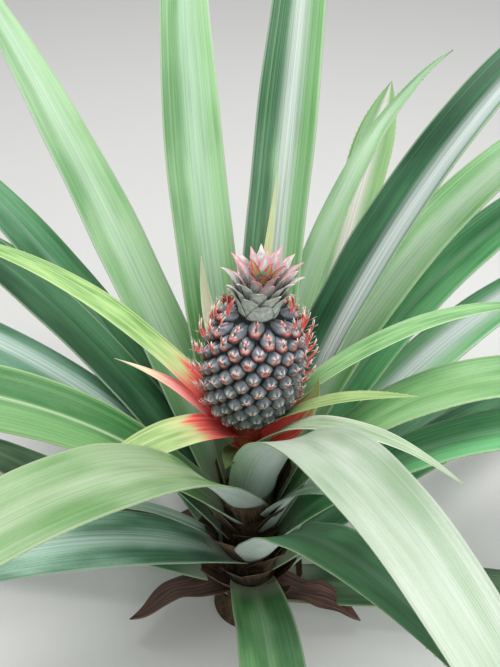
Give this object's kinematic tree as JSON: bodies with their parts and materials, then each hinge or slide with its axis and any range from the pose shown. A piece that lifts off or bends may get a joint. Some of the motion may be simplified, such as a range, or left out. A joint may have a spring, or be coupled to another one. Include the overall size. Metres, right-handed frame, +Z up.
{
  "type": "pineapple plant",
  "caption": "Pineapple plant with arching strap leaves round a short stem, red-based bracts and one ripening fruit with its leafy crown.",
  "frame": {"origin": "middle of the stem's flat cut at ground level", "axes": "+Z up along the stem, +X to the right of the picture's view, +Y away from its camera"},
  "size_m": [1.0757, 1.0206, 0.8352],
  "materials": {
    "stem": "rough brown stem under old leaf bases",
    "stalk": "dull yellow-green stalk",
    "fruit": "waxy slate-grey rind with coral-red spines",
    "crown": "matte grey-green leaves with pink tips",
    "leaf": "satin green leaf with a pale bloom below",
    "bract": "satin yellow-green leaf with a coral-red base"
  },
  "bodies": {
    "root": {"stem": "stem", "fruit_stalk": "stalk", "fruit": "fruit", "crown": "crown", "leaf_01": "leaf", "leaf_02": "leaf", "leaf_03": "leaf", "leaf_04": "leaf", "leaf_05": "leaf", "leaf_06": "leaf", "leaf_07": "leaf", "leaf_08": "leaf", "leaf_09": "leaf", "leaf_10": "leaf", "leaf_11": "leaf", "leaf_12": "leaf", "leaf_13": "leaf", "leaf_14": "leaf", "leaf_15": "leaf", "leaf_16": "leaf", "leaf_17": "leaf", "leaf_18": "leaf", "leaf_19": "leaf", "leaf_20": "leaf", "leaf_21": "leaf", "leaf_22": "leaf", "leaf_23": "leaf", "leaf_24": "leaf", "leaf_25": "leaf", "leaf_26": "leaf", "leaf_27": "leaf", "leaf_28": "leaf", "leaf_29": "leaf", "slender_01": "leaf", "slender_02": "leaf", "bract_01": "bract", "bract_02": "bract", "bract_03": "bract", "bract_04": "bract", "bract_05": "bract", "bract_06": "bract", "bract_07": "bract", "bract_08": "bract", "bract_09": "bract", "bract_10": "bract", "bract_11": "bract"}
  },
  "joints": []
}
